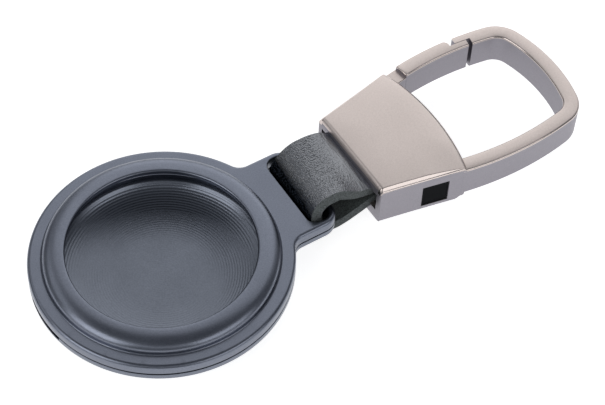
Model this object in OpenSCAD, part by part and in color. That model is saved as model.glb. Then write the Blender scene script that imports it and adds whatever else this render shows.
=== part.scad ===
// Key holder for a round coin tracker: two turned shells that close round the tracker,
// a leather loop through their lugs, and a cast clasp with a sprung gate.
// Millimetres, +Z up. The shells' axis is the Z axis and the dish stands on Z = 0.

/* [Tracker seat] */
// Radius of the cavity that the tracker lies in
seat_r = 16.1; // [13:0.1:22]
// Depth of the cavity below the plane where the shells part
seat_depth = 3.15; // [2.6:0.05:5]
// Radius of the flat in the middle of the dish's floor
flat_r = 6; // [3:0.5:12]
// Height of the bowl's curve from that flat to the cavity's wall
bowl_h = 3; // [1.5:0.1:4]
// Rounding of the dish's edge underneath
foot_r = 1.9; // [0.8:0.1:2.5]
// Thickness of the dish's floor and wall
dish_t = 0.9; // [0.7:0.05:1.5]
// Radius of the front opening that shows the tracker
aperture_r = 14.3; // [10:0.1:15]

/* [Shell flanges] */
// Wall between the cavity and the foot of the raised rim
rim_wall = 1.75; // [1.5:0.05:2.5]
// Width of the flat flange outside the raised rim
flange_w = 2.15; // [1.2:0.05:4]
// Thickness of the front flange
front_t = 1.95; // [1.6:0.05:3]
// Thickness of the back flange
back_t = 1.15; // [0.8:0.05:2]
// Height of the raised rim above the front flange
crown_h = 1.9; // [1.2:0.05:3]
// Thickness of the rim's lip at the opening
lip_t = 0.95; // [0.6:0.05:1.1]
// Clearance of the front shell round the tracker
cover_gap = 0.3; // [0.2:0.05:0.6]
// Rounding of the flange's outer edges
edge_r = 0.35; // [0.15:0.05:0.45]
// Chamfer on both sides of the seam between the flanges
seam_c = 0.12; // [0.05:0.01:0.2]

/* [Closure] */
// Height of the back shell's spigot above the seam
spigot_h = 0.85; // [0.6:0.05:1.2]
// Thickness of the spigot
spigot_t = 0.85; // [0.7:0.05:1]
// Gap between the spigot and the front shell
spigot_gap = 0.05; // [0.03:0.01:0.1]
// Depth of the groove for the grip ring
groove_d = 0.4; // [0.2:0.05:0.45]
// Height of the groove for the grip ring
groove_h = 0.45; // [0.3:0.05:0.5]
// Half the angle that the nail notch covers
notch_half_deg = 12; // [5:1:20]
// Height of the nail notch
notch_h = 0.55; // [0.3:0.05:0.7]
// Depth of the nail notch
notch_d = 0.9; // [0.5:0.05:1.1]

/* [Lug] */
// Metal between the flange's circle and the strap slot
lug_web = 2.05; // [1.5:0.05:4]
// Width of the strap slot, along the object
slot_w = 3.75; // [3.2:0.05:4.2]
// Half the length of the strap slot, across the object
slot_half = 7.1; // [6.8:0.1:9]
// Corner radius of the strap slot
slot_r = 1.7; // [0.6:0.1:1.8]
// Width of the rim round the strap slot
lug_rim = 1.0; // [0.8:0.05:1.2]
// Radius of the concave necks between lug and flange
neck_r = 2.2; // [1:0.1:4]

/* [Strap] */
// Thickness of the leather
leather_t = 1.8; // [1.4:0.05:1.85]
// Width of the leather
leather_w = 12.4; // [9:0.1:12.8]
// Inner radius of the loop's arch
loop_r = 2.15; // [2.1:0.05:2.3]
// Distance from the arch's centre to the clasp's face
strap_reach = 6.7; // [6:0.1:10]
// Extra height of the arch's upper leaf beside the clasp
arch_rise = 0.55; // [0.2:0.05:0.8]
// Radius of the bar that anchors the loop in the clasp
bar_r = 1.2; // [0.9:0.05:1.3]
// Thickness of the thinned leather round the bar
skive_t = 0.95; // [0.6:0.05:1]

/* [Clasp] */
// Length of the clasp's head at its sides
head_len = 14.3; // [14:0.1:20]
// Width of the head at the strap
head_w = 17.3; // [17:0.1:20]
// How far the head bows out between the arms
head_bow = 1.85; // [1:0.05:3]
// Thickness of the head, with its crown
head_t = 7.95; // [7.8:0.05:9]
// Height of the crown above the head's side bevel
head_crown = 0.85; // [0.4:0.05:1.2]
// Height of the soft edge at the strap end
strap_round_h = 1.7; // [1:0.1:1.7]
// Rounding of the head's lower and upright edges
head_edge_r = 0.4; // [0.2:0.05:0.6]
// Distance from the head's corner to the outside of the nose
hook_len = 25.35; // [22:0.05:35]
// Half width of the hook at its widest
hook_half_w = 12.7; // [12.4:0.1:14]
// Radius of the arms' long curve
side_r = 54; // [45:1:90]
// Radius of the nose's curve
nose_r = 27.5; // [24:0.5:60]
// Outer radius of the nose's corners
corner_r = 5.3; // [3.5:0.1:6]
// Width of the arms
arm_w = 2.6; // [2.2:0.05:3]
// Thickness of the arms
arm_t = 5.85; // [5:0.05:6.2]
// Rounding of the arms' edges
arm_edge_r = 0.6; // [0.2:0.05:0.7]

/* [Gate] */
// Radius of the pin that the gate turns on
pin_r = 0.75; // [0.5:0.05:0.9]
// Running clearance round the pin
pin_gap = 0.05; // [0.02:0.01:0.09]
// Angle that the gate opens
gate_open = 30; // [15:1:32]
// Radius of the gate's hub
hub_r = 1.9; // [1.6:0.05:2]
// Height of the gate's root inside the head
root_t = 4.2; // [3.6:0.05:4.4]
// Gap between the root and the head's cheeks
cheek_gap = 0.06; // [0.03:0.01:0.12]
// Bare length of the root between head and gate
root_show = 2.75; // [2.4:0.05:4]
// Length of the tongue at the gate's tip
tongue_len = 3.0; // [2:0.1:4]
// Radius of the spring's wire
wire_r = 0.18; // [0.12:0.01:0.22]
// Turns of the spring
spring_turns = 3; // [2:1:4]

/* [Window] */
// Width of the square window in the head's side
window_w = 4.4; // [4.2:0.05:4.8]
// Height of the window
window_h = 4.48; // [4.3:0.02:4.6]
// Gap round the plug in the window
plug_gap = 0.02; // [0.01:0.01:0.05]
// How far the plug lies below the head's side
plug_sink = 0.2; // [0.05:0.05:0.5]

/* [Hidden] */
$fn = 96;

// Overrun of every cut past the face that it opens
over = 0.5;

// Levels of the shells, from the ground up
seam_z = dish_t + seat_depth;
flange_top_z = seam_z + front_t;
flange_low_z = seam_z - back_t;
crown_z = flange_top_z + crown_h;

// Radii of the shells
rim_r = seat_r + rim_wall;
flange_r = rim_r + flange_w;
spigot_r = seat_r + spigot_t;

// The lug and its slot, along X
slot_x = flange_r + lug_web;
slot_end_x = slot_x + slot_w;
lug_end_x = slot_end_x + lug_rim;
lug_half = slot_half + lug_rim;
lug_corner_r = slot_r + lug_rim;
bar_x = lug_end_x - lug_rim / 2;
bar_z = (flange_top_z + flange_low_z) / 2;

// The clasp's middle plane, a little above the lugs' middle
clasp_lift = front_t / 6;
mid_z = bar_z + clasp_lift;

// The loop's arch, and the clasp's face where the leather goes in
arch_x = bar_x + leather_t / 6;
arch_out_r = loop_r + leather_t;
face_x = arch_x + strap_reach;

// The head
head_low_z = mid_z - head_t / 2;
head_top_z = mid_z + head_t / 2;
head_side_z = head_top_z - head_crown;
strap_side_z = head_top_z - strap_round_h;
corner_x = face_x + head_len;
nose_x = corner_x + hook_len;

// The arms follow a long arc that is tangent to the head's sloping side
widest_x = corner_x + head_len * 0.72;
function arm_out_y(x) = hook_half_w - side_r + sqrt(side_r * side_r - (x - widest_x) * (x - widest_x));
corner_y = arm_out_y(corner_x);
bow_x = corner_x + head_bow;
bow_r = (corner_y * corner_y + head_bow * head_bow) / (2 * head_bow);
function head_side_y(x) = head_w / 2 + (corner_y - head_w / 2) * (x - face_x) / head_len;

// Mouth and inner cavity of the head
mouth_gap = leather_t / 90;
mouth_z0 = mid_z - leather_t - mouth_gap;
mouth_z1 = mid_z + leather_t + mouth_gap;
mouth_half = slot_half + 0.35 * leather_t;
cavity_half = leather_w / 2 + leather_t / 4;

// The anchor bar, its window and the leather round it
anchor_x = face_x + 0.65 * head_len;
wrap_r = bar_r + skive_t;
window_z = mid_z - leather_t / 2;
cavity_x = anchor_x + wrap_r + leather_t / 12;
cavity_z0 = window_z - wrap_r - leather_t / 12;

// Gate pivot: the hub is flush with the head's side
hub_x = corner_x - 0.7 * hub_r;
hub_y = head_side_y(hub_x) - hub_r;
root_z0 = mid_z - root_t / 2;
root_z1 = mid_z + root_t / 2;
root_end_x = corner_x + root_show;
tip_x = corner_x + hook_len / 2;
lap_x = tip_x + tongue_len * 0.42;
tongue_end_x = tip_x + tongue_len;
hook_end_x = tongue_end_x + tongue_len / 4;
tongue_w = arm_w * 0.43;
lap_gap = arm_w / 26;

// Points of an arc about a centre
function arc(c, r, a0, a1, n) = [
    for (i = [0:n]) c + r * [cos(a0 + (a1 - a0) * i / n), sin(a0 + (a1 - a0) * i / n)]
];

// Points of a cubic curve, without its last one
function curve(p0, p1, p2, p3, n) = [
    for (i = [0:n - 1]) let (t = i / n, s = 1 - t)
        s * s * s * p0 + 3 * s * s * t * p1 + 3 * s * t * t * p2 + t * t * t * p3
];

// Meeting point of two circles, the one with the larger Y
function meet(c1, r1, c2, r2) =
    let (d = norm(c2 - c1), u = (c2 - c1) / d)
    let (a = (r1 * r1 - r2 * r2 + d * d) / (2 * d), h = sqrt(r1 * r1 - a * a))
    let (m = c1 + a * u, p = m + h * [-u[1], u[0]], q = m - h * [-u[1], u[0]])
    p[1] > q[1] ? p : q;

function bearing(c, p) = atan2(p[1] - c[1], p[0] - c[0]);
function flip(pts) = [for (i = [len(pts) - 1:-1:0]) [pts[i][0], -pts[i][1]]];
function at_z(pts, z) = [for (p = pts) [p[0], p[1], z]];

// Triangles that close an outline of n points, in strips across it
function cap(n) = [
    for (i = [0:floor(n / 2) - 1]) let (j = n - 1 - i)
        each concat(i + 1 < j ? [[i, i + 1, j]] : [], i + 1 < j - 1 ? [[i + 1, j - 1, j]] : [])
];

// Solid through a stack of outlines with equal counts of points
module loft(layers) {
    n = len(layers[0]);
    m = len(layers);
    sides = [
        for (j = [0:m - 2], i = [0:n - 1]) let (k = (i + 1) % n)
            each [[j * n + k, j * n + i, (j + 1) * n + i], [j * n + k, (j + 1) * n + i, (j + 1) * n + k]]
    ];
    high = [for (t = cap(n)) [for (i = [2:-1:0]) (m - 1) * n + t[i]]];
    polyhedron(points = [for (layer = layers) each layer], faces = concat(cap(n), high, sides), convexity = 8);
}

// Outline of both flanges with their lug, moved in by an inset
function plate_outline(inset) =
    let (neck = [sqrt(pow(flange_r + neck_r, 2) - pow(lug_half + neck_r, 2)), lug_half + neck_r])
    let (corner = [lug_end_x - lug_corner_r, lug_half - lug_corner_r])
    let (a = bearing([0, 0], neck))
    let (half = concat(
        arc(corner, lug_corner_r - inset, 0, 90, 8),
        arc(neck, neck_r + inset, 270, 180 + a, 6),
        [for (i = [1:44]) let (t = a + (180 - a) * i / 44) (flange_r - inset) * [cos(t), sin(t)]]
    ))
    concat([for (i = [0:len(half) - 2]) half[i]], flip(half));

// Flange plate from z0 up by t, with its own roundings at both faces
module plate(z0, t, low_r, high_r) {
    steps = 4;
    function low(i) = [low_r * (1 - sin(90 * i / steps)), low_r * (1 - cos(90 * i / steps))];
    function high(i) = [high_r * (1 - cos(90 * i / steps)), t - high_r * (1 - sin(90 * i / steps))];
    rows = concat([for (i = [0:steps]) low(i)], [for (i = [0:steps]) high(i)]);
    loft([for (row = rows) at_z(plate_outline(row[0]), z0 + row[1])]);
}

// The strap slot, cut through both lugs
module strap_slot() {
    low = slot_half - slot_r;
    translate([0, 0, flange_low_z - over])
        linear_extrude(height = front_t + back_t + 2 * over)
            polygon(concat(
                arc([slot_end_x - slot_r, low], slot_r, 0, 90, 10),
                arc([slot_x + slot_r, low], slot_r, 90, 180, 10),
                arc([slot_x + slot_r, -low], slot_r, 180, 270, 10),
                arc([slot_end_x - slot_r, -low], slot_r, 270, 360, 10)
            ));
}

// Bezel ring: the front half that holds the tracker in behind its lip
module front_shell() {
    // the raised rim: steep at its foot, then rounded, nearly level at the opening
    crown_run = rim_r - aperture_r;
    fullness = 0.8;
    crown = [
        for (i = [0:14]) let (a = 90 * i / 14)
            [aperture_r + crown_run * pow(cos(a), fullness), flange_top_z + crown_h * pow(sin(a), fullness)]
    ];
    hollow_z = crown_z - lip_t;
    hollow_r = seat_r + cover_gap - aperture_r;
    hollow = [
        for (i = [0:8]) let (a = 90 * i / 8)
            [aperture_r + hollow_r * cos(a), hollow_z - hollow_r * (1 - sin(a)) / 2]
    ];
    color("#5d616b") difference() {
        union() {
            plate(seam_z, front_t, seam_c, edge_r);
            rotate_extrude() polygon(concat([[0, seam_z], [rim_r, seam_z]], crown, [[0, crown_z]]));
        }
        rotate_extrude() polygon(concat(
            [[0, seam_z - over], [spigot_r + spigot_gap, seam_z - over]],
            [[spigot_r + spigot_gap, seam_z + spigot_h + spigot_gap]],
            [[seat_r + cover_gap, seam_z + spigot_h + spigot_gap]],
            hollow,
            [[aperture_r, crown_z + over], [0, crown_z + over]]
        ));
        strap_slot();
    }
}

// Dish: the back half, with the spigot, the grip ring's groove and the nail notch
module back_shell() {
    wall_r = seat_r + dish_t;
    bowl = [
        for (i = [0:16]) let (a = 90 * i / 16)
            [flat_r + (seat_r - flat_r) * sin(a), dish_t + bowl_h * (1 - cos(a))]
    ];
    groove_z = seam_z + (spigot_h - groove_h) / 2;
    notch_x = flange_r * cos(notch_half_deg);
    notch_y = flange_r * sin(notch_half_deg);
    color("#565a64") difference() {
        union() {
            plate(flange_low_z, back_t, edge_r, seam_c);
            rotate_extrude() polygon(concat(
                [[0, 0]],
                arc([wall_r - foot_r, foot_r], foot_r, -90, 0, 12),
                [[wall_r, flange_low_z + back_t / 2], [0, flange_low_z + back_t / 2]]
            ));
            translate([0, 0, flange_low_z + back_t / 2])
                cylinder(h = back_t / 2 + spigot_h, r = spigot_r);
        }
        rotate_extrude() polygon(concat(
            [[0, dish_t]],
            bowl,
            [[seat_r, seam_z + spigot_h + over], [0, seam_z + spigot_h + over]]
        ));
        translate([0, 0, groove_z]) difference() {
            cylinder(h = groove_h, r = spigot_r + over);
            translate([0, 0, -over]) cylinder(h = groove_h + 2 * over, r = spigot_r - groove_d);
        }
        translate([0, 0, seam_z - notch_h]) linear_extrude(height = notch_h + over) difference() {
            polygon([[-notch_x, -notch_y], [-flange_r - over, -notch_y], [-flange_r - over, notch_y], [-notch_x, notch_y]]);
            circle(r = flange_r - notch_d);
        }
        strap_slot();
    }
}

// Rubber ring in the spigot's groove, in its squeezed shape
module grip_ring() {
    squeeze = spigot_gap / 2;
    round_r = groove_h / 3;
    z0 = seam_z + (spigot_h - groove_h) / 2;
    in_r = spigot_r - groove_d;
    out_r = spigot_r + spigot_gap - squeeze;
    color("#1c1c1e") rotate_extrude() polygon(concat(
        [[in_r, z0], [out_r - round_r, z0]],
        arc([out_r - round_r, z0 + round_r], round_r, -90, 0, 4),
        arc([out_r - round_r, z0 + groove_h - round_r], round_r, 0, 90, 4),
        [[in_r, z0 + groove_h]]
    ));
}

// Leather loop: a closed band round the lugs' bars and round the anchor bar
module leather_loop() {
    c = [arch_x, mid_z];
    anchor = [anchor_x, window_z];
    in_x = face_x + head_len / 4;
    meet_x = face_x - leather_t / 2;
    top = [arch_x, mid_z + arch_out_r];
    low = [arch_x, mid_z - arch_out_r];
    run = strap_reach / 3;
    leaf = 2 * leather_t;
    outer = concat(
        arc(c, arch_out_r, 90, 270, 24),
        curve(low, low + [run, 0], [face_x - 1.2 * run, mid_z - leaf / 2 - arch_rise], [face_x, mid_z - leaf / 2], 10),
        [[face_x, mid_z - leaf / 2]],
        curve([in_x, mid_z - leaf / 2], [in_x + run, mid_z - leaf / 2], anchor - [run, wrap_r], anchor - [0, wrap_r], 6),
        arc(anchor, wrap_r, -90, 90, 12),
        curve(anchor + [0, wrap_r], anchor + [-run, wrap_r], [in_x + run, mid_z + leaf / 2], [in_x, mid_z + leaf / 2], 6),
        [[in_x, mid_z + leaf / 2]],
        curve([face_x, mid_z + leaf / 2], [face_x - 0.85 * run, mid_z + leaf / 2 + arch_rise],
            top + [1.6 * run, arch_rise], top, 12)
    );
    inner = concat(
        arc(c, loop_r, 90, 270, 20),
        curve(c - [0, loop_r], c + [0.8 * run, -loop_r], [meet_x - run, mid_z - arch_rise], [meet_x, mid_z], 8),
        curve([meet_x, mid_z], [meet_x - 0.8 * run, mid_z + arch_rise / 2], c + [1.3 * run, loop_r + arch_rise],
            c + [0, loop_r], 10)
    );
    color("#2e3036") translate([0, leather_w / 2, 0]) rotate([90, 0, 0])
        linear_extrude(height = leather_w) difference() {
            polygon(outer);
            polygon(inner);
            translate(anchor) circle(r = bar_r + plug_gap);
        }
}

// Steel bar inside the head that the leather is anchored round
module strap_bar() {
    far_y = cavity_half + 1.5 * bar_r;
    near_y = -cavity_half - 1.4 * bar_r;
    color("#9a9da3") translate([anchor_x, far_y, window_z]) rotate([90, 0, 0])
        cylinder(h = far_y - near_y, r = bar_r);
}

// Outline of the head, with its own insets at the sides, the strap end and the bow
function head_outline(side, strap, bow) =
    let (x0 = face_x + strap, x1 = corner_x - side / 4, e = head_edge_r)
    let (y0 = head_side_y(x0) - side, bc = [bow_x - bow_r, 0])
    let (r = bow_r - bow, y1 = head_side_y(x1) - side, a1 = asin(y1 / r))
    let (half = concat(
        arc(bc, r, 0, a1 * 0.97, 12),
        [[bc[0] + r * cos(a1) - e / 4, y1 - e / 6], [bc[0] + r * cos(a1) - e, y1 - e / 5]],
        arc([x0 + e, y0 - e], e, 90 + 11, 180, 4)
    ))
    concat(half, [for (p = flip(half)) if (p[1] < 0) p]);

// Window through the head's near side
module window_block(gap) {
    translate([anchor_x - window_w / 2 + gap, -corner_y - over, window_z - window_h / 2 + gap])
        cube([window_w - 2 * gap, corner_y + over - cavity_half + over, window_h - 2 * gap]);
}

// Distance from the arm's centreline to the hook's outside
half_arm = arm_w / 2;
side_c = [widest_x, hook_half_w - side_r];
nose_c = [nose_x - nose_r, 0];
corner_c = meet(side_c, side_r - corner_r, nose_c, nose_r - corner_r);

// Centreline of the far half of the hook, from the nose back to x
function hook_half(x) =
    let (a1 = bearing(nose_c, corner_c), a2 = bearing(side_c, corner_c))
    let (a3 = acos((x - side_c[0]) / (side_r - half_arm)))
    concat(
        arc(nose_c, nose_r - half_arm, 0, a1, 8),
        [for (i = [1:9]) corner_c + (corner_r - half_arm) * [cos(a1 + (a2 - a1) * i / 9), sin(a1 + (a2 - a1) * i / 9)]],
        [for (i = [1:10]) side_c + (side_r - half_arm) * [cos(a2 + (a3 - a2) * i / 10), sin(a2 + (a3 - a2) * i / 10)]]
    );

// Rounded section of the arms: across the arm, then up
function arm_section() =
    let (w = half_arm - arm_edge_r, h = arm_t / 2 - arm_edge_r)
    concat(
        arc([w, -h], arm_edge_r, -90, 0, 3), arc([w, h], arm_edge_r, 0, 90, 3),
        arc([-w, h], arm_edge_r, 90, 180, 3), arc([-w, -h], arm_edge_r, 180, 270, 3)
    );

// Sweeps the arm's section along a path in plan, at the clasp's middle plane
module arm_sweep(path) {
    n = len(path);
    section = arm_section();
    function along(i) = path[min(i + 1, n - 1)] - path[max(i - 1, 0)];
    loft([
        for (i = [0:n - 1]) let (d = along(i) / norm(along(i)), out = [-d[1], d[0]])
            [for (s = section) [path[i][0] + out[0] * s[0], path[i][1] + out[1] * s[0], mid_z + s[1]]]
    ]);
}

// Strip of the arm in plan between two X places, from one depth below its outside to another
function arm_strip(xa, xb, d0, d1) =
    let (r0 = side_r - d0, r1 = side_r - d1)
    concat(
        arc(side_c, r0, acos((xa - side_c[0]) / r0), acos((xb - side_c[0]) / r0), 8),
        arc(side_c, r1, acos((xb - side_c[0]) / r1), acos((xa - side_c[0]) / r1), 8)
    );

// Cut of the arm's full height over such a strip
module arm_cut(xa, xb, d0, d1) {
    translate([0, 0, mid_z - arm_t / 2 - over]) linear_extrude(height = arm_t + 2 * over)
        polygon(arm_strip(xa, xb, d0, d1));
}

// Room that the gate's root needs in the head, in plan
module root_room() {
    reach = root_show * 3;
    room_r = hub_r + cheek_gap + plug_gap;
    deep = hub_r + cheek_gap;
    translate([hub_x, hub_y]) {
        circle(r = room_r);
        translate([-room_r, 0]) square([reach, corner_y]);
        rotate(-gate_open) translate([0, -deep]) square([reach, 2 * deep]);
        square([reach, corner_y]);
        polygon([[0, -deep], [reach, -deep], [reach, 0], [0, 0]]);
    }
}

// Cast head and hook in one piece
module clasp_body() {
    steps = 8;
    function crown_inset(z, z0, run) =
        z <= z0 ? 0 : run * (1 - sqrt(max(0, 1 - pow((z - z0) / (head_top_z - z0), 2))));
    side_run = head_w * 0.32;
    strap_run = head_len * 0.42;
    bow_run = head_len * 0.3;
    foot = [
        for (i = [0:3]) let (a = 30 * i)
            [head_edge_r * (1 - sin(a)), head_low_z + head_edge_r * (1 - cos(a))]
    ];
    levels = concat(
        [for (i = [0:2]) strap_side_z + (head_side_z - strap_side_z) * i / 3],
        [for (i = [0:steps]) head_side_z + head_crown * sin(90 * i / steps)]
    );
    nose = hook_half(lap_x);
    arm = hook_half(corner_x - half_arm / 4);
    path = concat([for (i = [len(arm) - 1:-1:1]) [arm[i][0], -arm[i][1]]], nose);
    color("#b3aba6") difference() {
        union() {
            loft(concat(
                [for (row = foot) at_z(head_outline(row[0], row[0], row[0]), row[1])],
                [for (z = levels) at_z(head_outline(
                    crown_inset(z, head_side_z, side_run),
                    crown_inset(z, strap_side_z, strap_run),
                    crown_inset(z, head_side_z, bow_run)), z)]
            ));
            arm_sweep(path);
        }
        arm_cut(lap_x - over, hook_end_x, arm_w - tongue_w - lap_gap, arm_w + over);
        translate([face_x - over, -mouth_half, mouth_z0])
            cube([head_len / 4 + over, 2 * mouth_half, mouth_z1 - mouth_z0]);
        translate([face_x, -cavity_half, cavity_z0])
            cube([cavity_x - face_x, 2 * cavity_half, mouth_z1 - cavity_z0]);
        window_block(0);
        translate([anchor_x, cavity_half + 1.5 * bar_r, window_z]) rotate([90, 0, 0])
            cylinder(h = 1.5 * bar_r + over, r = bar_r);
        translate([0, 0, root_z0 - cheek_gap]) linear_extrude(height = root_t + 2 * cheek_gap) root_room();
        translate([hub_x, hub_y, head_low_z - over])
            cylinder(h = head_side_z - head_low_z + over, r = pin_r);
    }
}

// Black plug that closes the window and carries the bar's near end
module window_plug() {
    socket = 1.4 * bar_r;
    color("#141518") difference() {
        intersection() {
            window_block(plug_gap);
            translate([0, 0, head_low_z]) linear_extrude(height = head_t)
                polygon(head_outline(plug_sink, 0, 0));
        }
        translate([anchor_x, -cavity_half + over, window_z]) rotate([90, 0, 0])
            cylinder(h = socket + plug_gap + over, r = bar_r + plug_gap);
        translate([anchor_x - window_w, -cavity_half - plug_gap, window_z - window_h])
            cube([2 * window_w, leather_w, 2 * window_h]);
    }
}

// Gate: root and hub inside the head, the gate itself, and the half-lap tongue at its tip
module gate() {
    coil_room = hub_r + cheek_gap;
    coil_h = root_t * 0.42;
    bar = arc(side_c, side_r - half_arm, acos((root_end_x - side_c[0]) / (side_r - half_arm)),
        acos((tongue_end_x - side_c[0]) / (side_r - half_arm)), 12);
    color("#b3aba6") difference() {
        union() {
            arm_sweep([for (i = [len(bar) - 1:-1:0]) bar[i]]);
            translate([0, 0, root_z0]) linear_extrude(height = root_t) {
                polygon(arm_strip(hub_x, root_end_x + half_arm, 0, arm_w));
                translate([hub_x, hub_y]) circle(r = hub_r);
            }
        }
        arm_cut(tip_x, tongue_end_x + over, -over, arm_w - tongue_w);
        translate([hub_x, hub_y, root_z0 - over]) {
            cylinder(h = root_t + 2 * over, r = pin_r + pin_gap);
            cylinder(h = coil_h + over, r = coil_room);
        }
    }
}

// Pin through both cheeks of the head
module gate_pin() {
    color("#9a9da3") translate([hub_x, hub_y, head_low_z + plug_gap])
        cylinder(h = head_side_z - head_low_z - 2 * plug_gap, r = pin_r);
}

// Torsion spring round the gate pin: one leg on the gate, one on the head
module gate_spring() {
    coil_r = (pin_r + hub_r) / 2;
    steps = 14;
    pitch = root_t * 0.42 / (spring_turns + 1.5);
    z0 = root_z0 + 2 * wire_r;
    leg = hub_r * 1.35;
    start = [hub_x + leg, hub_y - coil_r, z0];
    coil = [
        for (i = [0:spring_turns * steps]) let (a = -90 - 360 * i / steps)
            [hub_x + coil_r * cos(a), hub_y + coil_r * sin(a), z0 + pitch * i / steps]
    ];
    last = coil[len(coil) - 1];
    path = concat([start], coil, [last + [-leg / 2, 0, 0]]);
    function along(i) = path[min(i + 1, len(path) - 1)] - path[max(i - 1, 0)];
    color("#a8abb0") loft([
        for (i = [0:len(path) - 1])
            let (d = along(i) / norm(along(i)), side = cross(d, [0, 0, 1]) / norm(cross(d, [0, 0, 1])))
            let (up = cross(side, d))
            [for (k = [5:-1:0]) path[i] + wire_r * (cos(60 * k) * side + sin(60 * k) * up)]
    ]);
}

front_shell();
back_shell();
grip_ring();
leather_loop();
strap_bar();
clasp_body();
window_plug();
gate();
gate_pin();
gate_spring();
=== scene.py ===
import math

import bmesh
import bpy
from mathutils import Matrix, Vector, noise


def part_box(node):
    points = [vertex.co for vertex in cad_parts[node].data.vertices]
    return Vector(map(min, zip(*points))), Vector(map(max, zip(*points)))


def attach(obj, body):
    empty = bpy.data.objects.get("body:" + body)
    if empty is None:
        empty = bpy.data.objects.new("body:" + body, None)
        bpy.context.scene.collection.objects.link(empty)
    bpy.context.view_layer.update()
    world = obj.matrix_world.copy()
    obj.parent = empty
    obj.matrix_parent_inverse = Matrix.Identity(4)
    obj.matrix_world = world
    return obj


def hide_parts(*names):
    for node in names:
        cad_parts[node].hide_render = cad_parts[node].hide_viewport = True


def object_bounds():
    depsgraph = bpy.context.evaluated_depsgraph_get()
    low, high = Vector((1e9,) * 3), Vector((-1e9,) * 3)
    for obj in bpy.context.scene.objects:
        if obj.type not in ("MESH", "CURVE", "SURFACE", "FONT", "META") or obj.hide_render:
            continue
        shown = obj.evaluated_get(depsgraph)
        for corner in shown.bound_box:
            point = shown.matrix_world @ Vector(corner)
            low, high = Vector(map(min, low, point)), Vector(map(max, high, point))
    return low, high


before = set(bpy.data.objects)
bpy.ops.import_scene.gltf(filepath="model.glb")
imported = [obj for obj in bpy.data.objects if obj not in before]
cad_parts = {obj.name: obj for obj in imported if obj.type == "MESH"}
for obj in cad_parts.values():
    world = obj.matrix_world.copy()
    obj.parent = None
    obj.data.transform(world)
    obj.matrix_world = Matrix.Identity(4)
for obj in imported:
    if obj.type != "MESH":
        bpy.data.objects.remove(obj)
cad_low, cad_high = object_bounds()
scene = bpy.context.scene
scene.view_settings.view_transform = "Standard"


# Back shell: the dish that the tracker lies in, with its flange, its slotted lug and the spigot
# that the front shell goes over. Turned from aluminium, milled round the lug, bead blasted and
# anodised dark blue-grey; the dish's floor keeps the rings of the lathe tool.
MM = 0.001
back_low, back_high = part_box("back_shell")
front_low, front_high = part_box("front_shell")
flange_r = -back_low.x
lug_end = back_high.x
seam_z = front_low.z
crown_z = front_high.z
spigot_z = back_high.z
seat_r = 16.1 * MM
floor_t = 0.9 * MM
wall_r = seat_r + floor_t
spigot_r = seat_r + 0.85 * MM
flat_r = 6 * MM
bowl_h = 3 * MM
foot_r = 1.9 * MM
back_t = 1.15 * MM
front_t = 1.95 * MM
edge_r = 0.35 * MM
seam_chamfer = 0.08 * MM
lug_half = back_high.y * 0.405
neck_r = 2.2 * MM
lug_corner_r = 2.7 * MM
slot_low_x = flange_r + 2.05 * MM
slot_high_x = lug_end - 1.0 * MM
slot_half = lug_half - 1.0 * MM
slot_r = 1.7 * MM
slot_flare = 0.18 * MM
lathe_steps = 192
turned_crisp = 32
cast_crisp = 50


def arc(centre, radius, start, end, steps):
    """Points of an arc in a plane, between two angles in degrees."""
    turns = [math.radians(start + (end - start) * i / steps) for i in range(steps + 1)]
    return [(centre[0] + radius * math.cos(t), centre[1] + radius * math.sin(t)) for t in turns]


def verts_in(geom):
    """The vertices among an operator's results."""
    return [item for item in geom if isinstance(item, bmesh.types.BMVert)]


def far_edges(geom):
    """The edges that an extrusion of edges ended on."""
    fresh = set(verts_in(geom))
    return [item for item in geom if isinstance(item, bmesh.types.BMEdge) and set(item.verts) <= fresh]


def raised(bm, faces, height):
    """Makes a block of a flat face by extruding it straight up."""
    made = bmesh.ops.extrude_face_region(bm, geom=faces)["geom"]
    bmesh.ops.translate(bm, verts=verts_in(made), vec=(0, 0, height))


def turned(bm, profile, origin=(0, 0, 0)):
    """Turns a profile of (radius, height) points round the Z axis, as a lathe does, and moves it."""
    verts = [bm.verts.new((radius, 0, height)) for radius, height in profile]
    edges = [bm.edges.new(pair) for pair in zip(verts, verts[1:])]
    bmesh.ops.spin(bm, geom=verts + edges, cent=(0, 0, 0), axis=(0, 0, 1),
                   angle=math.tau, steps=lathe_steps, use_merge=True)
    bmesh.ops.translate(bm, verts=bm.verts, vec=origin)


def straight(bm, vertex, x, y):
    """Carries an outline on in a straight line, and gives its new end."""
    end = bm.verts.new((x, y, vertex.co.z))
    bm.edges.new((vertex, end))
    return end


def bend(bm, vertex, centre, degrees, steps):
    """Carries an outline on round a centre in plan, and gives its new end."""
    spun = bmesh.ops.spin(bm, geom=[vertex], cent=(*centre, vertex.co.z), axis=(0, 0, 1),
                          angle=math.radians(degrees), steps=steps)
    return verts_in(spun["geom_last"])[0]


def mirrored_loop(bm, before):
    """Mirrors the new half of an outline across the X axis, and gives the closed loop's edges."""
    half = [edge for edge in bm.edges if edge not in before]
    verts = list({vertex for edge in half for vertex in edge.verts})
    bmesh.ops.mirror(bm, geom=verts + half, matrix=Matrix(), merge_dist=0.001 * MM, axis="Y")
    return [edge for edge in bm.edges if edge not in before]


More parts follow.
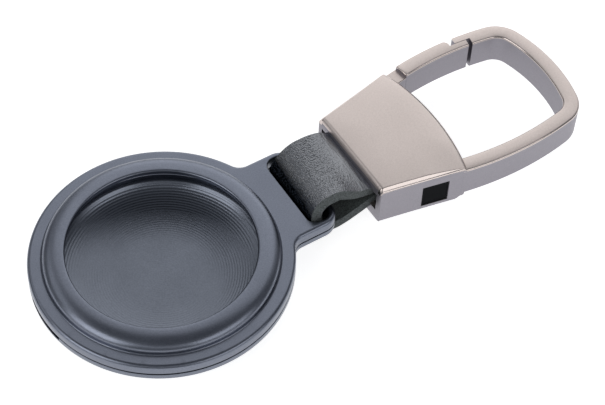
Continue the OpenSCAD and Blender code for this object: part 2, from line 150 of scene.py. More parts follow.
def flange_outline(bm, z, inset=0.0):
    """The outline that both flanges share: lug end, corner, side, neck and the long round."""
    before = set(bm.edges)
    neck = (math.sqrt((flange_r + neck_r) ** 2 - (lug_half + neck_r) ** 2), lug_half + neck_r)
    bearing = math.degrees(math.atan2(neck[1], neck[0]))
    corner = (lug_end - lug_corner_r, lug_half - lug_corner_r)
    here = straight(bm, bm.verts.new((lug_end - inset, 0, z)), lug_end - inset, corner[1])
    here = bend(bm, here, corner, 90, 12)
    here = straight(bm, here, neck[0], lug_half - inset)
    here = bend(bm, here, neck, bearing - 90, 10)
    bend(bm, here, (0, 0), 180 - bearing, 90)
    return mirrored_loop(bm, before)


def slot_outline(bm, z):
    """The outline of the strap slot."""
    before = set(bm.edges)
    side = slot_half - slot_r
    here = straight(bm, bm.verts.new((slot_high_x, 0, z)), slot_high_x, side)
    here = bend(bm, here, (slot_high_x - slot_r, side), 90, 10)
    here = straight(bm, here, slot_low_x + slot_r, slot_half)
    here = bend(bm, here, (slot_low_x + slot_r, side), 90, 10)
    straight(bm, here, slot_low_x, 0)
    return mirrored_loop(bm, before)


def bevelled(bm, edges, width, segments):
    """Rounds edges off."""
    bmesh.ops.bevel(bm, geom=edges, offset=width, offset_type="OFFSET", affect="EDGES",
                    segments=segments, profile=0.5, material=-1)


def carry_on(bm, loop, dz=0.0, factor=(1, 1), about=(0, 0)):
    """Extrudes a closed loop upwards, grown or shrunk in plan about a point."""
    made = bmesh.ops.extrude_edge_only(bm, edges=loop)["geom"]
    verts = verts_in(made)
    bmesh.ops.translate(bm, verts=verts, vec=(0, 0, dz))
    for vertex in verts:
        vertex.co.x = about[0] + (vertex.co.x - about[0]) * factor[0]
        vertex.co.y = about[1] + (vertex.co.y - about[1]) * factor[1]
    return far_edges(made)


def flange_wall(bm, low, high, low_round, high_round):
    """The flange's outer wall with its edges rounded, open above and below."""
    loop = flange_outline(bm, low)
    raised(bm, bmesh.ops.contextual_create(bm, geom=loop)["faces"], high - low)
    for level, width in ((low, low_round), (high, high_round)):
        lid = next(face for face in bm.faces
                   if len(face.verts) > 50 and abs(face.calc_center_median().z - level) < 0.01 * MM)
        bevelled(bm, list(lid.edges), width, 6)
    lids = [face for face in bm.faces if len(face.verts) > 50]
    bmesh.ops.delete(bm, geom=lids, context="FACES_ONLY")


def slot_wall(bm, low, high):
    """The strap slot's wall, its rims rounded out towards both faces of the lug."""
    middle = ((slot_low_x + slot_high_x) / 2, 0)
    half = (slot_high_x - slot_low_x) / 2
    rounds = [slot_flare * (1 - math.sin(math.radians(a))) for a in (0, 30, 60, 90)]
    rises = [slot_flare * (1 - math.cos(math.radians(a))) for a in (0, 30, 60, 90)]
    heights = [low + r for r in rises] + [high - r for r in reversed(rises)]
    grown = rounds + rounds[::-1]
    loop = slot_outline(bm, low)
    verts = list({vertex for edge in loop for vertex in edge.verts})
    for vertex in verts:
        vertex.co.x = middle[0] + (vertex.co.x - middle[0]) * (half + slot_flare) / half
        vertex.co.y *= (slot_half + slot_flare) / slot_half
    for i in range(1, len(heights)):
        factor = ((half + grown[i]) / (half + grown[i - 1]),
                  (slot_half + grown[i]) / (slot_half + grown[i - 1]))
        loop = carry_on(bm, loop, heights[i] - heights[i - 1], factor, middle)


def close_level(bm, z):
    """Fills the flat face between all the open loops at one height."""
    rim = [edge for edge in bm.edges
           if len(edge.link_faces) < 2 and all(abs(v.co.z - z) < 0.002 * MM for v in edge.verts)]
    bmesh.ops.triangle_fill(bm, edges=rim, use_beauty=True, normal=(0, 0, 1))


def mark_crisp(bm, crisp_degrees):
    """Smooths every face, and keeps the edges that turn more sharply crisp."""
    for face in bm.faces:
        face.smooth = True
    for edge in bm.edges:
        edge.smooth = len(edge.link_faces) == 2 and edge.calc_face_angle() < math.radians(crisp_degrees)


def make_piece(name, bm, crisp_degrees=turned_crisp):
    """Makes an object of a mesh: its seams merged, its faces outwards, its flats shaded flat."""
    bmesh.ops.remove_doubles(bm, verts=bm.verts, dist=0.002 * MM)
    bmesh.ops.recalc_face_normals(bm, faces=bm.faces)
    mark_crisp(bm, crisp_degrees)
    mesh = bpy.data.meshes.new(name)
    bm.to_mesh(mesh)
    bm.free()
    piece = bpy.data.objects.new(name, mesh)
    scene.collection.objects.link(piece)
    piece.modifiers.new("Flat faces shaded flat", "WEIGHTED_NORMAL").keep_sharp = True
    return piece


def reshape(piece, other, operation="DIFFERENCE", crisp_degrees=cast_crisp):
    """Cuts another closed shape away from a piece, or joins it on, and removes that shape."""
    change = piece.modifiers.new("Change", "BOOLEAN")
    change.operation = operation
    change.solver = "EXACT"
    change.object = other
    piece.modifiers.move(len(piece.modifiers) - 1, 0)
    for modifier in piece.modifiers[1:]:
        modifier.show_viewport = False
    changed = bpy.data.meshes.new_from_object(piece.evaluated_get(bpy.context.evaluated_depsgraph_get()))
    for modifier in piece.modifiers[1:]:
        modifier.show_viewport = True
    piece.modifiers.remove(change)
    bpy.data.objects.remove(other)
    bm = bmesh.new()
    bm.from_mesh(changed)
    mark_crisp(bm, crisp_degrees)
    bm.to_mesh(changed)
    bm.free()
    piece.data = changed


def linear(colour):
    """Linear colour of an sRGB hex value."""
    shares = [int(colour[i:i + 2], 16) / 255 for i in (0, 2, 4)]
    return [s / 12.92 if s <= 0.04045 else ((s + 0.055) / 1.055) ** 2.4 for s in shares] + [1]


def add_node(tree, kind, inputs=(), **settings):
    """Adds a node with its settings; each input takes a value or another node's output."""
    node = tree.nodes.new(kind)
    for key, value in settings.items():
        setattr(node, key, value)
    for key, value in dict(inputs).items():
        if isinstance(value, bpy.types.NodeSocket):
            tree.links.new(value, node.inputs[key])
        else:
            node.inputs[key].default_value = value
    return node


def new_material(name):
    """An empty material and its node tree."""
    material = bpy.data.materials.new(name)
    material.use_nodes = True
    material.node_tree.nodes.clear()
    return material, material.node_tree


def grains(tree, place, size, detail, roughness=0.5):
    """Noise whose grains have a size in metres."""
    return add_node(tree, "ShaderNodeTexNoise", {"Vector": place, "Scale": 1 / size, "Detail": detail,
                                                 "Roughness": roughness}).outputs["Fac"]


def two_tone(tree, share, colour):
    """A mix of two colours."""
    return add_node(tree, "ShaderNodeMix", {0: share, 6: linear(colour[0]), 7: linear(colour[1])},
                    data_type="RGBA").outputs[2]


def ramp(tree, value, span, to=(0, 1)):
    """A value's place in one span, carried over to another."""
    return add_node(tree, "ShaderNodeMapRange", {"Value": value, "From Min": span[0], "From Max": span[1],
                                                 "To Min": to[0], "To Max": to[1]}).outputs[0]


def combined(tree, operation, *values):
    """The result of a sum on two values."""
    return add_node(tree, "ShaderNodeMath", enumerate(values), operation=operation).outputs[0]


def bumped(tree, height, strength, depth, under=(), **settings):
    """Normals of a surface that a texture raises by a depth, over another bump if one is given."""
    return add_node(tree, "ShaderNodeBump", {"Height": height, "Strength": strength, "Distance": depth,
                                             **dict(under)}, **settings).outputs[0]


def surface(tree, inputs):
    """Ends a material's tree with a shader of these inputs."""
    shader = add_node(tree, "ShaderNodeBsdfPrincipled", inputs)
    add_node(tree, "ShaderNodeOutputMaterial", {"Surface": shader.outputs[0]})


def paint(piece, *materials):
    """Gives a piece its materials."""
    piece.data.materials.clear()
    for material in materials:
        piece.data.materials.append(material)


def anodised_aluminium(name, colour, ring_mm=0.0):
    """Anodised aluminium: the oxide layer dyes the metal but leaves it metallic. The blasted grain
    scatters the reflection into a satin sheen with a faint sparkle; it is drawn 0.2 mm wide, coarser
    than it is, so that it shows. Lathe rings, where there are any, are ring_mm apart, and show as
    fine circles on the bowl; the flat middle has been faced nearly smooth."""
    material, tree = new_material(name)
    place = add_node(tree, "ShaderNodeTexCoord").outputs["Object"]
    grain = grains(tree, place, 0.2 * MM, 3)
    rough = ramp(tree, grains(tree, place, 6 * MM, 3), (0.3, 0.7), (0.28, 0.34))
    bump = bumped(tree, grain, 0.25, 0.02 * MM)
    if ring_mm:
        rings = add_node(tree, "ShaderNodeTexWave",
                         {"Vector": place, "Scale": math.tau / 20 / (ring_mm * MM),
                          "Distortion": 0.4, "Detail": 1, "Detail Scale": 0.1},
                         wave_type="RINGS", rings_direction="Z")
        flat = add_node(tree, "ShaderNodeVectorMath", {0: place, 1: (1, 1, 0)}, operation="MULTIPLY")
        radius = add_node(tree, "ShaderNodeVectorMath", {0: flat.outputs[0]}, operation="LENGTH")
        depth = ramp(tree, radius.outputs["Value"], (flat_r, 1.7 * flat_r), (0.15, 1))
        bump = bumped(tree, rings.outputs["Fac"], depth, 0.018 * MM, {"Normal": bump})
    surface(tree, {"Base Color": two_tone(tree, grain, colour), "Metallic": 1, "Roughness": rough,
                   "Normal": bump})
    return material


back_bm = bmesh.new()
rim_c = 0.15 * MM
groove_z = (seam_z + spigot_z) / 2
groove_half = 0.225 * MM
groove_r = spigot_r - 0.4 * MM
bowl = [(flat_r + (seat_r - flat_r) * math.sin(math.radians(a)),
         floor_t + bowl_h * (1 - math.cos(math.radians(a)))) for a in range(0, 91, 3)]
turned(back_bm, [(0, floor_t), (flat_r / 2, floor_t)] + bowl + [
    (seat_r, spigot_z - rim_c), (seat_r + rim_c, spigot_z), (spigot_r - rim_c, spigot_z),
    (spigot_r, spigot_z - rim_c), (spigot_r, groove_z + groove_half), (groove_r, groove_z + groove_half),
    (groove_r, groove_z - groove_half), (spigot_r, groove_z - groove_half), (spigot_r, seam_z)])
flange_low = seam_z - back_t
root_r = 0.3 * MM
turned(back_bm, [(0, 0), (flat_r, 0)] + arc((wall_r - foot_r, foot_r), foot_r, -90, 0, 12)
       + arc((wall_r + root_r, flange_low - root_r), root_r, 180, 90, 4))
flange_wall(back_bm, flange_low, seam_z, edge_r, seam_chamfer)
slot_wall(back_bm, flange_low, seam_z)
close_level(back_bm, flange_low)
close_level(back_bm, seam_z)
back = make_piece("dish_shell", back_bm)

# The nail notch: a shallow arc milled out of the seam opposite the lug
notch_bm = bmesh.new()
notch_deg = 12
notch_deep = 0.9 * MM
notch_high = 0.55 * MM
over = 0.5 * MM
notch_profile = [(flange_r - notch_deep, seam_z - notch_high), (flange_r + over, seam_z - notch_high),
                 (flange_r + over, seam_z + over), (flange_r - notch_deep, seam_z + over)]
notch_face = notch_bm.faces.new([notch_bm.verts.new((-radius, 0, height))
                                 for radius, height in notch_profile])
bmesh.ops.rotate(notch_bm, verts=notch_bm.verts, cent=(0, 0, 0),
                 matrix=Matrix.Rotation(math.radians(-notch_deg), 3, "Z"))
bmesh.ops.spin(notch_bm, geom=[notch_face] + list(notch_face.edges) + list(notch_face.verts),
               cent=(0, 0, 0), axis=(0, 0, 1), angle=math.radians(2 * notch_deg), steps=24)
reshape(back, make_piece("notch_cutter", notch_bm), crisp_degrees=turned_crisp)
paint(back, anodised_aluminium("blasted anodised aluminium", ("646975", "828793")),
      anodised_aluminium("lathe-turned anodised aluminium", ("5e636c", "797e89"), 0.4))
for face in back.data.polygons:
    if face.center.z < seam_z and face.center.xy.length < seat_r and face.normal.z > 0.05:
        face.material_index = 1
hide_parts("back_shell")
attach(back, "back_half")


# Grip ring: a rubber ring in the spigot's groove, squeezed by the front shell so that the two
# shells stay shut. Moulded nitrile rubber, matt and nearly black.
ring_low, ring_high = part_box("grip_ring")
ring_bm = bmesh.new()
ring_round = 0.15 * MM
ring_out = ring_high.x - ring_round
turned(ring_bm, [(groove_r, ring_low.z)] + arc((ring_out, ring_low.z + ring_round), ring_round, -90, 0, 5)
       + arc((ring_out, ring_high.z - ring_round), ring_round, 0, 90, 5)
       + [(groove_r, ring_high.z), (groove_r, ring_low.z)])
ring = make_piece("rubber_ring", ring_bm)


def moulded_rubber(name, colour, rough, shine):
    """Moulded rubber or nylon: no metal, a dull skin with a faint 0.2 mm mould texture."""
    material, tree = new_material(name)
    place = add_node(tree, "ShaderNodeTexCoord").outputs["Object"]
    skin = grains(tree, place, 0.2 * MM, 2)
    surface(tree, {"Base Color": two_tone(tree, skin, colour), "Roughness": rough,
                   "Specular IOR Level": shine, "Normal": bumped(tree, skin, 0.3, 0.02 * MM)})
    return material


paint(ring, moulded_rubber("nitrile rubber", ("131314", "1d1d1f"), 0.7, 0.5))
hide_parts("grip_ring")
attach(ring, "back_half")


# Front shell: the bezel ring that closes over the tracker, with its raised rounded rim, the
# opening that shows the tracker and a slotted lug like the back's. The same turned, blasted and
# anodised aluminium; a narrow step under its edge leaves the dark line between the two flanges.
rim_r = flange_r - 2.15 * MM
flange_top = seam_z + front_t
aperture_r = 14.3 * MM
lip_t = 0.95 * MM
lip_r = 0.35 * MM
cover_r = seat_r + 0.3 * MM
rabbet_r = spigot_r + 0.05 * MM
rabbet_z = spigot_z + 0.05 * MM
rim_foot = 0.25 * MM
top_edge_r = 0.6 * MM
step_h = 0.28 * MM
step_deep = 0.5 * MM
seam_gap = 0.01 * MM
crown_full = 0.8
crown_h = crown_z - flange_top
crown_run = rim_r - aperture_r - lip_r
front_bm = bmesh.new()
crown = [(aperture_r + lip_r + crown_run * math.cos(math.radians(a)) ** crown_full,
          flange_top + crown_h * math.sin(math.radians(a)) ** crown_full) for a in range(6, 91, 3)]
lip_z = crown_z - lip_t
hollow_r = cover_r - aperture_r - lip_r
hollow = [(aperture_r + lip_r + hollow_r * math.cos(math.radians(a)),
           lip_z - hollow_r * (1 - math.sin(math.radians(a))) / 2) for a in range(90, -1, -10)]
lip = arc((aperture_r + lip_r, crown_z - lip_r), lip_r, 90, 180, 4) + \
    arc((aperture_r + lip_r, lip_z + lip_r), lip_r, 180, 270, 4)
turned(front_bm, arc((rim_r + rim_foot, flange_top + rim_foot), rim_foot, -90, -165, 5) + crown + lip
       + hollow + [(cover_r, rabbet_z), (rabbet_r, rabbet_z), (rabbet_r, seam_z + seam_gap)])
flange_wall(front_bm, seam_z + step_h, flange_top, seam_chamfer, top_edge_r)
carry_on(front_bm, flange_outline(front_bm, seam_z + step_h, step_deep), seam_gap - step_h)
slot_wall(front_bm, seam_z + seam_gap, flange_top)
close_level(front_bm, seam_z + seam_gap)
close_level(front_bm, seam_z + step_h)
close_level(front_bm, flange_top)
front = make_piece("bezel_shell", front_bm)
paint(front, back.data.materials[0])
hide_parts("front_shell")
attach(front, "front_half")


# Leather loop: one flat strap through both lugs, folded back on itself into the clasp's mouth.
# Chrome-tanned cow leather with a pebbled dark grain side, a raw suede back inside the loop and
# raw cut edges; it was bent by hand, so its near edge stands a little higher than its far one.
loop_low, loop_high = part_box("leather_loop")
clasp_low, clasp_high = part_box("clasp_body")
leather_t = 1.8 * MM
leather_w = loop_high.y - loop_low.y
arch_r = 2.15 * MM + leather_t / 2
arch_x = loop_low.x + 2.15 * MM + leather_t
face_x = clasp_low.x
mid_z = (clasp_low.z + clasp_high.z) / 2
anchor_x = face_x + 9.295 * MM
anchor_z = mid_z - leather_t / 2
bar_r = 1.2 * MM
skive_t = 0.95 * MM
wrap_r = bar_r + skive_t / 2
rise = 0.55 * MM


def curve(p0, p1, p2, p3, steps):
    """Points of a cubic curve, without its last one."""
    shares = [i / steps for i in range(steps)]
    return [tuple((1 - t) ** 3 * a + 3 * (1 - t) ** 2 * t * b + 3 * (1 - t) * t * t * c + t ** 3 * d
                  for a, b, c, d in zip(p0, p1, p2, p3)) for t in shares]


run = (face_x - arch_x) / 3
inside = face_x + 3.6 * MM
route = curve((anchor_x, anchor_z - wrap_r), (anchor_x - run, anchor_z - wrap_r),
              (inside + run, mid_z - leather_t / 2), (inside, mid_z - leather_t / 2), 14)
route += curve((inside, mid_z - leather_t / 2), (face_x, mid_z - leather_t / 2),
               (arch_x + 1.2 * run, mid_z - arch_r - rise), (arch_x, mid_z - arch_r), 52)
route += arc((arch_x, mid_z), arch_r, 270, 90, 48)[:-1]
route += curve((arch_x, mid_z + arch_r), (arch_x + 1.7 * run, mid_z + arch_r + rise / 2),
               (face_x - 0.4 * run, mid_z + leather_t / 2 + rise / 2),
               (inside, mid_z + leather_t / 2), 52)
route += curve((inside, mid_z + leather_t / 2), (inside + run, mid_z + leather_t / 2),
               (anchor_x - run, anchor_z + wrap_r), (anchor_x, anchor_z + wrap_r), 14)
route += arc((anchor_x, anchor_z), wrap_r, 90, -90, 16)[:-1]
strap_bm = bmesh.new()
first = [strap_bm.verts.new((x, -leather_w / 2, z)) for x, z in route]
across = [strap_bm.edges.new((first[i - 1], first[i])) for i in range(len(first))]
rows = 40
for _ in range(rows):
    made = bmesh.ops.extrude_edge_only(strap_bm, edges=across)["geom"]
    bmesh.ops.translate(strap_bm, verts=verts_in(made), vec=(0, leather_w / rows, 0))
    across = far_edges(made)


def smooth_step(value, low, high):
    """0 below low, 1 above high and a smooth rise between."""
    share = min(1, max(0, (value - low) / (high - low)))
    return share * share * (3 - 2 * share)


near_shift = -1.0 * MM
near_raise = 0.85 * MM
near_sink = -0.8 * MM
far_shift = 1.3 * MM
far_raise = 0.25 * MM
crease_deep = 0.05 * MM
crease_size = (0.45 * MM, 5 * MM, 2 * MM)
for vertex in strap_bm.verts:
    x, y, z = vertex.co
    height = max(0, (z - mid_z) / arch_r)
    free = 1 - smooth_step(x, face_x - 3.5 * MM, face_x)
    near = max(0, -2 * y / leather_w) ** 1.3
    far = max(0, 2 * y / leather_w) ** 1.3
    mouthward = smooth_step(x, arch_x + 1.5 * MM, face_x - 0.8 * MM)
    outside = 1 - smooth_step(x, face_x + 0.2 * MM, face_x + 1.5 * MM)
    vertex.co.x += height * free * (near * near_shift + far * far_shift)
    vertex.co.z += height * (free * (near * near_raise * (1 - mouthward) + far * far_raise)
                             + outside * near * near_sink * mouthward)
    folds = noise.noise(Vector(at / size for at, size in zip((x, y, z), crease_size)))
    vertex.co.z += crease_deep * folds * height * smooth_step(x, arch_x + 2 * MM, face_x - 1 * MM)
strap = make_piece("leather_strap", strap_bm, 180)
strap.modifiers.clear()
weights = strap.vertex_groups.new(name="full thickness")
for vertex in strap.data.vertices:
    thin = smooth_step(vertex.co.x, inside, anchor_x)
    weights.add([vertex.index], 1 - thin * (1 - skive_t / leather_t), "REPLACE")
wall = strap.modifiers.new("Leather's thickness", "SOLIDIFY")
wall.thickness = leather_t
wall.offset = 0
wall.use_even_offset = True
wall.use_quality_normals = True
wall.vertex_group = "full thickness"
wall.material_offset = 1
wall.material_offset_rim = 2
cut_round = strap.modifiers.new("Worn cut edges", "BEVEL")
cut_round.width = 0.22 * MM
cut_round.segments = 3
cut_round.limit_method = "ANGLE"
cut_round.angle_limit = math.radians(60)


def pebbled_leather(name, colour):
    """Grain side of chrome-tanned leather: raised pebbles about 0.25 mm across, their valleys
    painted near black as painted shade, a thin coat of wax that catches the light on each pebble,
    and fine creases across the strap where it bends hard in front of the clasp. Low down at the
    lug end of the loop its gloss is taken away, as painted shade where the lug hides it."""
    material, tree = new_material(name)
    place = add_node(tree, "ShaderNodeTexCoord").outputs["Object"]
    warp = add_node(tree, "ShaderNodeTexNoise", {"Vector": place, "Scale": 1 / (0.9 * MM), "Detail": 2})
    moved = add_node(tree, "ShaderNodeVectorMath", {0: warp.outputs["Color"], "Scale": 0.25 * MM},
                     operation="SCALE")
    spot = add_node(tree, "ShaderNodeVectorMath", {0: place, 1: moved.outputs[0]}, operation="ADD")
    cells = add_node(tree, "ShaderNodeTexVoronoi", {"Vector": spot.outputs[0], "Scale": 1 / (0.25 * MM)},
                     feature="F1")
    pebbles = combined(tree, "POWER", cells.outputs["Distance"], 2)
    stretched = add_node(tree, "ShaderNodeMapping", {"Vector": place, "Scale": (1, 0.09, 1)})
    folds = grains(tree, stretched.outputs[0], crease_size[0], 2)
    parts = add_node(tree, "ShaderNodeSeparateXYZ", {0: place}).outputs
    bent = ramp(tree, parts["X"], (arch_x + 2 * MM, face_x - 1.5 * MM), (0.1, 0.9))
    relief = add_node(tree, "ShaderNodeMix", {0: bent, 2: pebbles, 3: folds}).outputs[0]
    pores = bumped(tree, grains(tree, place, 0.16 * MM, 3), 0.6, 0.03 * MM)
    bump = bumped(tree, relief, 1, 0.11 * MM, {"Normal": pores}, invert=True)
    # Below the lug's top and short of the lug's end, specular and coat are taken away as painted shade.
    above = ramp(tree, parts["Z"], (flange_top + 0.6 * MM, flange_top + 2.6 * MM))
    beyond = ramp(tree, parts["X"], (lug_end, lug_end + 2 * MM))
    gloss_outside_painted_shade = combined(tree, "MAXIMUM", above, beyond)
    # The base colour runs from the pebble tops to near black in the valleys, as painted shade.
    surface(tree, {
        "Base Color": two_tone(tree, ramp(tree, pebbles, (0.04, 0.3)), colour), "Roughness": 0.3,
        "Specular IOR Level": gloss_outside_painted_shade, "Specular Tint": linear("dfe8f6"), "Coat Weight": gloss_outside_painted_shade,
        "Coat Roughness": 0.22, "Coat IOR": 2.2, "Coat Tint": linear("e6ecf6"), "Coat Normal": bump,
        "Normal": bump})
    return material


def raw_suede(name, colour):
    """Raw leather fibre: split back or knife-cut edge, matt and fuzzy with a 0.2 mm nap, dyed
    through unevenly so that a greenish grey shows."""
    material, tree = new_material(name)
    place = add_node(tree, "ShaderNodeTexCoord").outputs["Object"]
    nap = grains(tree, place, 0.22 * MM, 4, 0.7)
    shade = add_node(tree, "ShaderNodeValToRGB", {0: nap})
    for stop, position, tone in zip(shade.color_ramp.elements, (0.35, 0.7), colour):
        stop.position = position
        stop.color = linear(tone)
    surface(tree, {"Base Color": shade.outputs[0], "Roughness": 0.9, "Sheen Weight": 0.15,
                   "Sheen Roughness": 0.5, "Normal": bumped(tree, nap, 0.8, 0.08 * MM)})
    return material


paint(strap, pebbled_leather("pebbled dark leather", ("2c3139", "050709")),
      raw_suede("suede back of the leather", ("272c2b", "656d6b")),
      raw_suede("knife-cut leather edge", ("373d3d", "848b8b")))
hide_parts("leather_loop")
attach(strap, "clasp")


# Strap bar: a bright drawn steel pin across the clasp's head. The strap's end goes round it, so
# it carries the whole pull; one end sits in the casting and the other in the window's plug.
bar_low, bar_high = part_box("strap_bar")


def round_bar(bm, low, high, radius, chamfer, axis):
    """A round bar between two corners of its box, with chamfered ends."""
    along = (high - low)[axis]
    turned(bm, [(0, 0), (radius - chamfer, 0), (radius, chamfer), (radius, along - chamfer),
                (radius - chamfer, along), (0, along)])
    if axis == 1:
        bmesh.ops.rotate(bm, verts=bm.verts, cent=(0, 0, 0),
                         matrix=Matrix.Rotation(math.radians(-90), 3, "X"))
    foot = (low + high) / 2
    foot[axis] = low[axis]
    bmesh.ops.translate(bm, verts=bm.verts, vec=foot)


bar_bm = bmesh.new()
round_bar(bar_bm, bar_low, bar_high, bar_r, 0.2 * MM, 1)
bar = make_piece("anchor_bar", bar_bm)


def drawn_steel(name, colour, rough):
    """Drawn and ground steel: bright and smooth, with faint 0.08 mm marks in its gloss."""
    material, tree = new_material(name)
    place = add_node(tree, "ShaderNodeTexCoord").outputs["Object"]
    gloss = ramp(tree, grains(tree, place, 0.08 * MM, 2), (0, 1), (rough - 0.06, rough + 0.08))
    surface(tree, {"Base Color": linear(colour), "Metallic": 1, "Roughness": gloss})
    return material


paint(bar, drawn_steel("drawn steel", "b4b4b8", 0.28))
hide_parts("strap_bar")
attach(bar, "clasp")


# Clasp body: the head that takes the strap, and the fixed arm and nose of the hook, all in one
# zinc die casting. Plated satin gunmetal: the crowned top is finely brushed, the sides are left
# blasted; the top is painted lighter and warmer as painted light, and the sides darker and
# cooler as painted shade.
head_len = 14.3 * MM
corner_x = face_x + head_len
nose_x = clasp_high.x
hook_half = clasp_high.y
side_r = 54 * MM
nose_r = 27.5 * MM
corner_r = 5.3 * MM
arm_w = 2.6 * MM
arm_t = 5.85 * MM
widest_x = corner_x + 0.72 * head_len
side_c = Vector((widest_x, hook_half - side_r))
nose_c = Vector((nose_x - nose_r, 0))
head_low = clasp_low.z
head_top = clasp_high.z
strap_half = 8.65 * MM
corner_y = side_c.y + math.sqrt(side_r ** 2 - (corner_x - widest_x) ** 2)
bow = 1.85 * MM
bow_r = (corner_y ** 2 + bow ** 2) / (2 * bow)
bow_c = corner_x + bow - bow_r
side_fall = 0.85 * MM
strap_edge = (1.7 * MM, 0.8 * MM, 0.35 * MM, 0.42 * head_len)
bow_edge = (1.35 * MM, 1.1 * MM, 0.32 * MM, 0.3 * head_len)
crisp_r = 0.28 * MM
facet_w = 0.46 * MM
facet_h = 0.5 * MM
facet_in = 0.06
facet_out = 0.45
upright_r = 0.35 * MM
foot = 0.3 * MM
bow_foot = 1.2 * MM


def head_side_y(x):
    """Half the head's width at a place along it."""
    return strap_half + (corner_y - strap_half) * (x - face_x) / head_len


def edge_drop(inset, whole, width, rest, run):
    """How far a soft edge takes the top down at an inset from it: a quarter of an ellipse of some
    width, and a long shallow crown behind it that takes the rest over its run."""
    steep = 1 - min(1, max(0, inset) / width)
    return (whole - rest) * (1 - math.sqrt(1 - steep ** 2)) + rest * max(0, 1 - inset / run) ** 2


def side_drop(inset, x):
    """The same at a long side, which has a fine round and then a flat bright facet, rounded off at
    the strap's end and tapering away towards the bow."""
    share = min(1, max(0, (x - face_x) / head_len))
    facet = math.sqrt(1 - (1 - min(1, share / facet_in)) ** 2) * min(1, (1 - share) / facet_out) ** 0.6
    steep = 1 - min(1, max(0, inset) / crisp_r)
    flat = max(0, 1 - max(0, inset - crisp_r / 2) / max(0.01 * MM, facet_w * facet))
    crown = max(0, 1 - inset / strap_half) ** 2
    return (crisp_r * (1 - math.sqrt(1 - steep ** 2)) + facet_h * facet * flat
            + (side_fall - facet_h * facet) * crown)


def head_height(x, y):
    """Height of the head's top: its strap end, its bow and its two sides each take it down."""
    falls = (edge_drop(x - face_x, *strap_edge),
             edge_drop(bow_r - math.hypot(x - bow_c, y), *bow_edge),
             side_drop(head_side_y(x) - abs(y), x))
    return head_top - sum(fall ** 3 for fall in falls) ** (1 / 3)


def head_place(along, across):
    """Place in plan of a point of the head's grid, whose two strap corners are rounded."""
    y = across * head_side_y(face_x + along * head_len)
    x = face_x + along * (bow_c + math.sqrt(bow_r ** 2 - y ** 2) - face_x)
    a = 1 - (x - face_x) / upright_r
    b = 1 - (head_side_y(x) - abs(y)) / upright_r
    if a > 0 and b > 0:
        x -= upright_r * a * (math.sqrt(1 - b * b / 2) - 1)
        y += math.copysign(upright_r * b * (math.sqrt(1 - a * a / 2) - 1), y)
    return x, y


head_bm = bmesh.new()
bmesh.ops.create_grid(head_bm, x_segments=90, y_segments=150, size=1)
for vertex in head_bm.verts:
    spread = [math.sin(math.radians(90 * max(-1, min(1, c)))) for c in vertex.co.xy]
    x, y = head_place((1 + spread[0]) / 2, spread[1])
    vertex.co = x, y, head_height(x, y)
rim = [edge for edge in head_bm.edges if len(edge.link_faces) == 1]
wall = {}
for turn in range(0, 91, 15):
    made = bmesh.ops.extrude_edge_only(head_bm, edges=rim)["geom"]
    lower = set(verts_in(made))
    rim = far_edges(made)
    for vertex in lower:
        upper = next(v for edge in vertex.link_edges for v in edge.verts if v not in lower)
        x, y = wall[vertex] = wall.get(upper, upper.co.xy)
        turn_r = foot + (bow_foot - foot) * smooth_step(x, corner_x - 1.5 * MM, corner_x - 0.2 * MM)
        inset = turn_r * (1 - math.cos(math.radians(turn)))
        inward = Vector((face_x + head_len / 2 - x, -y)).normalized() * inset
        vertex.co = x + inward.x, y + inward.y, head_low + turn_r * (1 - math.sin(math.radians(turn)))
bmesh.ops.contextual_create(head_bm, geom=rim)
clasp = make_piece("clasp_casting", head_bm, cast_crisp)


def arm_section():
    """Section of the arms: distance outwards from the middle, and height. The top and the
    underside are crowned, and their corners are small rounds."""
    half_w, half_h, sag, turn_r = arm_w / 2, arm_t / 2, 0.09 * MM, 0.34 * MM
    chord = half_w - turn_r
    crown_r = (chord ** 2 + sag ** 2) / (2 * sag)
    tilt = math.degrees(math.asin(chord / crown_r))
    top = arc((0, half_h - crown_r), crown_r, 90 - tilt, 90 + tilt, 12)
    edge_z = half_h - sag - turn_r * math.cos(math.radians(tilt))
    right = arc((half_w - turn_r, edge_z), turn_r, 0, 90 - tilt, 6)[:-1]
    half = right + top + [(-x, z) for x, z in reversed(right)]
    return half + [(-x, -z) for x, z in half]


def meeting(c1, r1, c2, r2):
    """The upper of the two points where two circles meet."""
    gap = (c2 - c1).length
    unit = (c2 - c1) / gap
    along = (r1 ** 2 - r2 ** 2 + gap ** 2) / (2 * gap)
    off = math.sqrt(r1 ** 2 - along ** 2)
    return max((c1 + unit * along + sign * off * Vector((-unit.y, unit.x)) for sign in (1, -1)),
               key=lambda p: p.y)


corner_c = meeting(side_c, side_r - corner_r, nose_c, nose_r - corner_r)


def bearing_of(point, about):
    """Direction in degrees of one point from another."""
    return math.degrees(math.atan2(point.y - about.y, point.x - about.x))


side_end = bearing_of(corner_c, side_c)
nose_end = bearing_of(corner_c, nose_c)


def side_angle(x):
    """Direction from the long curve's centre to the arm's middle at a place along the hook."""
    return math.degrees(math.acos((x - side_c.x) / (side_r - arm_w / 2)))


def swept(bm, section, start, bends):
    """Places a section on the far arm at a direction from the long curve's centre, and carries it
    through bends of (centre, degrees, steps) to make a closed bar."""
    turn = math.radians(start)
    out = Vector((math.cos(turn), math.sin(turn)))
    verts = []
    for reach, height in section:
        spot = side_c + out * (side_r - arm_w / 2 + reach)
        verts.append(bm.verts.new((spot.x, spot.y, mid_z + height)))
    face = bm.faces.new(verts)
    geom = [face] + list(face.edges) + list(face.verts)
    for about, degrees, steps in bends:
        geom = bmesh.ops.spin(bm, geom=geom, cent=(*about, 0), axis=(0, 0, 1),
                              angle=math.radians(degrees), steps=steps)["geom_last"]


